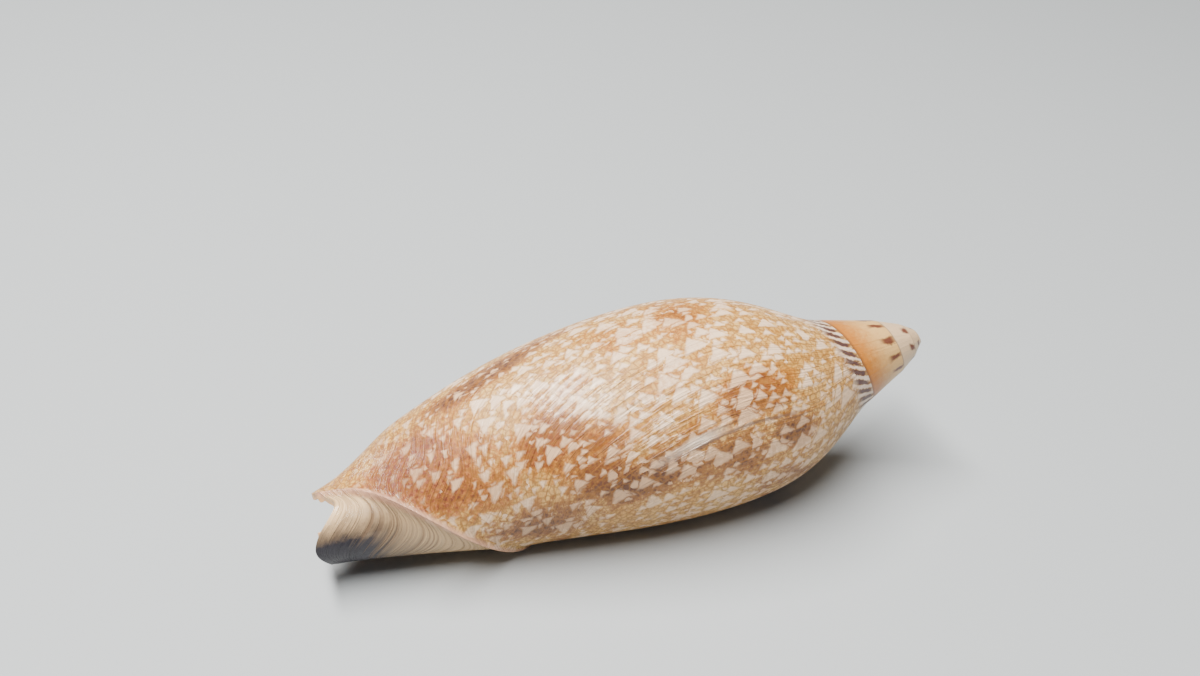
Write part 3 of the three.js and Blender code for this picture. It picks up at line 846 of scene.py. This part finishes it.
# noise in patches of about 6 mm, in grains of about 0.7 mm, and along growth in patches of 13 mm
mottle = add(tree, NOISE, {"Vector": place_mm, "Scale": 0.16, "Detail": 5.0, "Roughness": 0.6})
mottle = add(tree, RANGE, [mottle, 0.36, 0.66])
fine = add(tree, NOISE, {"Vector": place_mm, "Scale": 1.4, "Detail": 3.0, "Roughness": 0.7})
patchy = add(tree, NOISE, {"Vector": lines_at, "Scale": 0.075, "Detail": 2.0})
patchy = add(tree, RANGE, [patchy, 0.46, 0.62, 0.0, 0.95])
belted = add(tree, MATH, [read["belt"], patchy], operation="MULTIPLY")
dark = add(tree, MATH, [belted, read["blotch"]], operation="MAXIMUM")
dark = add(tree, MATH, [mottle, 0.35, dark], operation="MULTIPLY_ADD")
dark = add(tree, MATH, [fine, 1.8, dark], operation="MULTIPLY_ADD")
tinged = add(tree, RANGE, [dark, 1.10, 1.65, 0.0, 0.75], interpolation_type="SMOOTHSTEP")
dark = add(tree, RANGE, [dark, 1.50, 2.05, 0.0, 0.95], interpolation_type="SMOOTHSTEP")
print("nodes once the blotches are in:", len(tree.nodes))

# %% Fine growth lines
# drawn about 0.7 mm apart at the widest line, coarser than the real ones so that they show
fine_at = add(tree, VECTOR, [lines_at, (1.5, 0.08, 1.0)], operation="MULTIPLY")
streaks = add(tree, NOISE, {"Vector": fine_at, "Scale": 1.0, "Detail": 3.0, "Roughness": 0.6})
ridges = add(tree, RANGE, [streaks, 0.46, 0.70])
streaks = add(tree, RANGE, [streaks, 0.35, 0.65])
grain = add(tree, RANGE, [fine, 0.40, 0.66, 0.0, 0.5])
grain = add(tree, MATH, [streaks, 0.22, grain], operation="MULTIPLY_ADD")
print("nodes once the growth lines are in:", len(tree.nodes))

# %% [markdown]
# ## A rest in growth
# Where the animal once paused, a thin dark line runs along the former lip, with a pale scar
# beside its front half. It could be modelled as a step, but it is hardly raised, so it is a
# narrow band round one stage of growth, which makes it follow the lip by itself.

# %% Rest in growth
REST_STAGE = -0.521
DARK_AT, PALE_AT = 0.4, 1.3  # mm from that stage to the middle of the dark line and of the pale scar
rest_mm = float(GIRTH * RADIUS_GROWTH ** REST_STAGE)
off = add(tree, MATH, [read["growth_mm"], rest_mm], operation="SUBTRACT")
off = add(tree, MATH, [fine, 0.9, off], operation="MULTIPLY_ADD")
off_dark = add(tree, MATH, [off, DARK_AT], operation="SUBTRACT")
off_dark = add(tree, MATH, [off_dark], operation="ABSOLUTE")
off_pale = add(tree, MATH, [off, PALE_AT], operation="SUBTRACT")
off_pale = add(tree, MATH, [off_pale], operation="ABSOLUTE")
near_end = add(tree, RANGE, [read["height"], 0.52, 0.44])
far_end = add(tree, RANGE, [read["height"], 0.25, 0.30])
long_enough = add(tree, MATH, [near_end, far_end], operation="MULTIPLY")
dark_rest = add(tree, RANGE, [off_dark, 0.40, 0.10, 0.0, 0.75])
dark_rest = add(tree, MATH, [dark_rest, long_enough], operation="MULTIPLY")
scar = add(tree, RANGE, [read["height"], 0.38, 0.43])
scar = add(tree, MATH, [scar, long_enough], operation="MULTIPLY")
pale_rest = add(tree, RANGE, [off_pale, 1.0, 0.3, 0.0, 0.75])
pale_rest = add(tree, MATH, [pale_rest, scar], operation="MULTIPLY")
print("stage of the rest in growth:", REST_STAGE)

# %% [markdown]
# ## Suture band and spire
# Below the suture the pigment lies in short slanted dashes, nearly black. The early whorls are
# smooth and tan, orange brown toward the suture, with a row of dark spots, and a thin dark line
# of painted shade runs just above each suture, where one whorl meets the next. The dashes and
# the spots could be painted one by one. A sine wave of the growth stage repeats them at an even
# spacing instead, a slant comes from adding the distance from the suture, and noise makes them
# uneven.

# %% Dashes below the suture
# about 1.5 mm apart, in a band that fades out 3.7 mm below the suture
near_suture = add(tree, RANGE, [read["down_mm"], 3.7, 2.1])
dashes = add(tree, MATH, [read["growth_mm"], 1.65], operation="MULTIPLY")
dashes = add(tree, MATH, [read["down_mm"], -2.1, dashes], operation="MULTIPLY_ADD")
dashes = add(tree, MATH, [fine, 4.0, dashes], operation="MULTIPLY_ADD")
dashes = add(tree, MATH, [dashes], operation="SINE")
uneven = add(tree, NOISE, {"Vector": lines_at, "Scale": 0.35, "Detail": 1.0})
dashes = add(tree, MATH, [uneven, 2.4, dashes], operation="MULTIPLY_ADD")
dashes = add(tree, MATH, [dashes, 0.9], operation="SUBTRACT")
pale_dashes = add(tree, RANGE, [dashes, 0.2, -0.3, 0.0, 0.8])
pale_dashes = add(tree, MATH, [pale_dashes, near_suture], operation="MULTIPLY")
dashes = add(tree, RANGE, [dashes, -0.05, 0.55, 0.0, 0.92])
dashes = add(tree, MATH, [dashes, near_suture], operation="MULTIPLY")
off_suture = add(tree, MATH, [uneven, 1.6, read["down_mm"]], operation="MULTIPLY_ADD")
off_suture = add(tree, RANGE, [off_suture, 0.9, 1.5, 0.15, 1.0])
dashes = add(tree, MATH, [dashes, off_suture], operation="MULTIPLY")
print("nodes once the dashes are in:", len(tree.nodes))

# %% Early whorls
# painted shade: a thin dark line along the lower edge of each early whorl, just above the suture, where
# it meets the next whorl
suture_crease_shade = add(tree, RANGE, [read["across"], 0.92, 0.99, 0.0, 0.7])
spire = add(tree, RANGE, [read["stage"], -0.999, -1.001])
tip_part = add(tree, RANGE, [read["stage"], -1.75, -2.25])
lower_half = add(tree, MATH, [fine, 0.5, read["across"]], operation="MULTIPLY_ADD")
lower_half = add(tree, RANGE, [lower_half, 0.40, 1.20], interpolation_type="SMOOTHSTEP")
spots = add(tree, MATH, [read["growth_mm"], 1.15], operation="MULTIPLY")
spots = add(tree, MATH, [mottle, 3.0, spots], operation="MULTIPLY_ADD")
spots = add(tree, MATH, [spots], operation="SINE")
spots_at = add(tree, MATH, [read["across"], 0.15], operation="SUBTRACT")
spots_at = add(tree, MATH, [spots_at], operation="ABSOLUTE")
spots_at = add(tree, RANGE, [spots_at, 0.24, 0.06], interpolation_type="SMOOTHSTEP")
spots = add(tree, RANGE, [spots, 0.2, 0.8, 0.0, 0.95])
spots = add(tree, MATH, [spots, spots_at], operation="MULTIPLY")
print("nodes once the spire is in:", len(tree.nodes))

# %% [markdown]
# ## Fasciole and inside
# The fasciole is the band round the front end, where the edge of one siphonal notch after
# another healed over. Its growth lines are crowded brown crescents, and its old end is the
# colour of slate, painted darker, near black, and a little further on, as the shade it lies in
# low by the floor. The inside of the mouth is an even apricot. The place behind the ridge and
# the depth below the outside tell these parts from the rest, so no piece has to be cut apart.

# %% Fasciole, columella end and inside
fasciole = add(tree, RANGE, [read["ridge_mm"], 0.3, 1.1])
ridge_line = add(tree, MATH, [read["ridge_mm"]], operation="ABSOLUTE")
ridge_line = add(tree, RANGE, [ridge_line, 1.2, 0.2, 0.0, 0.75])
# the crescents are old notch edges, about 1 mm apart
arcs_at = add(tree, VECTOR, [lines_at, (0.9, 0.015, 1.0)], operation="MULTIPLY")
arcs = add(tree, NOISE, {"Vector": arcs_at, "Scale": 1.0, "Detail": 2.0, "Roughness": 0.6})
arcs = add(tree, RANGE, [arcs, 0.48, 0.66, 0.0, 0.75])
# the fasciole's old end: the shell's slate colour together with painted shade, near black, where it lies
# low by the floor
slate_and_shade = add(tree, MATH, [mottle, 0.04, read["stage"]], operation="MULTIPLY_ADD")
slate_and_shade = add(tree, RANGE, [slate_and_shade, -0.365, -0.465])
slate_and_shade_end = add(tree, MATH, [streaks, 4.0, read["front_mm"]], operation="MULTIPLY_ADD")
slate_and_shade_end = add(tree, RANGE, [slate_and_shade_end, 20.0, 8.0])
slate_and_shade = add(tree, MATH, [slate_and_shade, slate_and_shade_end], operation="MULTIPLY")
within = add(tree, RANGE, [read["depth_mm"], 0.25, 0.75])
print("nodes once the fasciole is in:", len(tree.nodes))

# %% [markdown]
# ## The colours
# The colour is built up as the shell was: a pale ochre ground, denser pigment, the net, then the
# tents that stayed free of it, and last the marks of single places, among them painted shade
# above the spire's sutures and at the fasciole's old end. Each layer is mixed over the one
# before it by its own factor, so each can be changed alone.

# %% Colours of the ground


def over(base, layers):
    """Lays each layer, a hex code or an output, over the one before it by its factor."""
    for factor, top in layers:
        top = colour(top) if isinstance(top, str) else top
        base = add(tree, MIX, {0: factor, 6: base, 7: top}, data_type="RGBA").outputs[2]
    return base


reddish = add(tree, RANGE, [read["height"], 0.62, 0.85, 0.0, 0.85])
older = add(tree, RANGE, [read["stage"], -0.485, -0.54, 0.0, 0.85])
younger = add(tree, RANGE, [read["stage"], -0.31, -0.27, 0.0, 0.75])
older = add(tree, MATH, [older, younger], operation="MAXIMUM")
dark_tone = over(colour("#934f10"), [(reddish, "#8a4530"), (older, "#402818")])
dusky = add(tree, MATH, [older, tinged], operation="MULTIPLY")
rosy = add(tree, MATH, [reddish, tinged], operation="MULTIPLY")
net_share = add(tree, MATH, [net, 0.7], operation="MULTIPLY")
dark_grain = add(tree, MATH, [dark, grain], operation="MULTIPLY")
base = over(colour("#dfb670"), [
    (mottle, "#cb9643"), (grain, "#b57728"), (tinged, "#b46d20"), (rosy, "#a9643e"),
    (dusky, "#6c432e"), (dark, dark_tone), (dark_grain, "#4f2408"), (net_share, "#8f5a18"),
])
print("nodes once the ground is coloured:", len(tree.nodes))

# %% Colours of the tents and of single places
tent_tone = over(colour("#f0d0ae"), [(tinged, "#d2a67c")])
tent_share = add(tree, RANGE, [read["height"], 0.78, 0.88, 0.92, 0.40])
tents = add(tree, MATH, [tents, tent_share], operation="MULTIPLY")
faded = add(tree, RANGE, [read["stage"], -0.47, -0.55, 1.0, 0.78])
tents = add(tree, MATH, [tents, faded], operation="MULTIPLY")
# the early whorls' colours, with the painted shade line above each suture laid last
whorls = over(colour("#d3a868"), [
    (lower_half, "#b56f22"), (tip_part, "#d3b48e"), (spots, "#5c2a20"), (suture_crease_shade, "#5a3a2a"),
])
# the fasciole's colours; its old end is slate with painted shade
band = over(colour("#d6b283"), [(arcs, "#7d5a38"), (slate_and_shade, "#1b1520")])
base = over(base, [
    (tents, tent_tone), (dark_rest, "#6d5040"), (pale_rest, "#dccbb8"), (pale_dashes, "#e2cfc0"),
    (dashes, "#452a30"), (spire, whorls), (fasciole, band), (ridge_line, "#dba88c"), (within, "#e0ab74"),
])
print("nodes once the colours are in:", len(tree.nodes))

# %% [markdown]
# ## Gloss and relief
# The shell is aragonite that the mantle laid down in crossed layers and glazed, and the beach
# has dulled it a little. The eye sees a soft sheen under a thin clear gloss, and the growth
# lines break the highlight into thin streaks. One rough layer alone would look like chalk, and
# one glossy layer like plastic, so a half rough base lies under a glossier coat. Aragonite's
# IOR is about 1.53 at its lowest.

# %% Gloss and relief of the shell
flatter = add(tree, MATH, [spire, -0.75, 1.0], operation="MULTIPLY_ADD")
ridges = add(tree, MATH, [ridges, flatter], operation="MULTIPLY")
relief = add(tree, MATH, [ridges, 1.6, fine], operation="MULTIPLY_ADD")
lamellae = add(tree, MATH, [arcs, fasciole], operation="MULTIPLY")
relief = add(tree, MATH, [lamellae, -1.5, relief], operation="MULTIPLY_ADD")
GROUND_HEIGHT, GLAZE_HEIGHT = 0.00012, 0.00016  # m
bump = add(tree, "ShaderNodeBump", {"Height": relief, "Strength": 0.8, "Distance": GROUND_HEIGHT})
glaze_bump = add(tree, "ShaderNodeBump", {"Height": ridges, "Strength": 1.0, "Distance": GLAZE_HEIGHT})
skin = add(tree, "ShaderNodeBsdfPrincipled", {
    "Base Color": base, "Roughness": 0.55, "IOR": 1.53, "Specular IOR Level": 0.35, "Normal": bump,
    "Coat Weight": 0.50, "Coat Roughness": 0.10, "Coat Normal": glaze_bump,
})
add(tree, "ShaderNodeOutputMaterial", [skin])
shell.data.materials.clear()
shell.data.materials.append(glaze)
print("nodes in the shell's material:", len(tree.nodes))

# %% [markdown]
# ## Floor, light and camera
# A plain pale floor and soft lamps, as in a small studio. One long narrow lamp overhead gives
# the streaked highlight along the body, and a weak wide one keeps the near side from going
# black. A sky picture would light it too, but its reflections would show on the gloss. The
# camera stands where the photograph was taken from, at about 35 degrees above the table.

# %% Floor
FLOOR_HALF = 3.0  # m
floor_mesh = bpy.data.meshes.new("floor")
corners = [(FLOOR_HALF * x, FLOOR_HALF * y, 0) for x, y in ((-1, -1), (1, -1), (1, 1), (-1, 1))]
floor_mesh.from_pydata(corners, [], [(0, 1, 2, 3)])
floor = bpy.data.objects.new("floor", floor_mesh)
bpy.context.scene.collection.objects.link(floor)
# matt uncoated paper: pressed from fibres, with no gloss, so that only the shadow shows on it
paper = start_material("pale_paper")
pale_and_matt = {"Base Color": colour("#a8adb0"), "Roughness": 0.7}
sheet = add(paper.node_tree, "ShaderNodeBsdfPrincipled", pale_and_matt)
add(paper.node_tree, "ShaderNodeOutputMaterial", [sheet])
floor_mesh.materials.append(paper)
print("floor in m:", 2 * FLOOR_HALF, "square")

# %% Lights


def lamp(name, place, target, size, power, tint):
    """A rectangular area lamp that faces its target, in metres and watts."""
    data = bpy.data.lights.new(name, "AREA")
    data.shape = "RECTANGLE"
    data.size, data.size_y = size
    data.energy = power
    data.color = tint
    made = bpy.data.objects.new(name, data)
    made.location = place
    made.rotation_mode = "QUATERNION"
    made.rotation_quaternion = (Vector(target) - Vector(place)).to_track_quat("-Z", "Y")
    bpy.context.scene.collection.objects.link(made)


MIDDLE = (0, 0, 0.015)  # about the middle of the shell
lamp("key_lamp", (-0.14, 0.00, 0.57), MIDDLE, (0.75, 0.12), 14.8, (1.0, 0.97, 0.93))
lamp("fill_lamp", (0.45, -0.60, 0.40), MIDDLE, (0.5, 0.5), 0.4, (0.95, 0.97, 1.0))
world = bpy.data.worlds.new("studio")
bpy.context.scene.world = world
world.use_nodes = True
world.node_tree.nodes["Background"].inputs[0].default_value = colour("#e8ecef")
world.node_tree.nodes["Background"].inputs[1].default_value = 0.10

# %% Camera
AIM_AT = np.array([2.6, 2.7, -50.0])  # point near the middle of the shell, in its own frame
CAMERA_TURN, CAMERA_RISE = np.radians(20.85), np.radians(34.79)
CAMERA_AWAY = 0.23639  # m
LENS, SENSOR = 45, 36  # mm
PICTURE_WIDTH, SHIFT_X, SHIFT_Y = 1200, -22.67, 78.81  # in the photograph's pixels
aim = AIM_AT @ rest.T / 1000 + shift
level = np.cos(CAMERA_RISE)
back = Vector((-np.sin(CAMERA_TURN) * level, -np.cos(CAMERA_TURN) * level, np.sin(CAMERA_RISE)))
camera_data = bpy.data.cameras.new("camera")
camera_data.lens = LENS
camera_data.sensor_width = SENSOR
camera_data.shift_x = SHIFT_X / PICTURE_WIDTH
camera_data.shift_y = SHIFT_Y / PICTURE_WIDTH
camera = bpy.data.objects.new("camera", camera_data)
camera.location = Vector(aim) + back * CAMERA_AWAY
camera.rotation_mode = "QUATERNION"
camera.rotation_quaternion = (-back).to_track_quat("-Z", "Y")
bpy.context.scene.collection.objects.link(camera)
bpy.context.scene.camera = camera
print("camera at, in m:", [round(v, 3) for v in camera.location])

# %% Riding on the frame, and the size
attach(shell, "root")
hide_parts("shell")
floor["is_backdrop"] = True
low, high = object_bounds()
print("size of the model in mm:", [round(1000 * v, 2) for v in high - low])
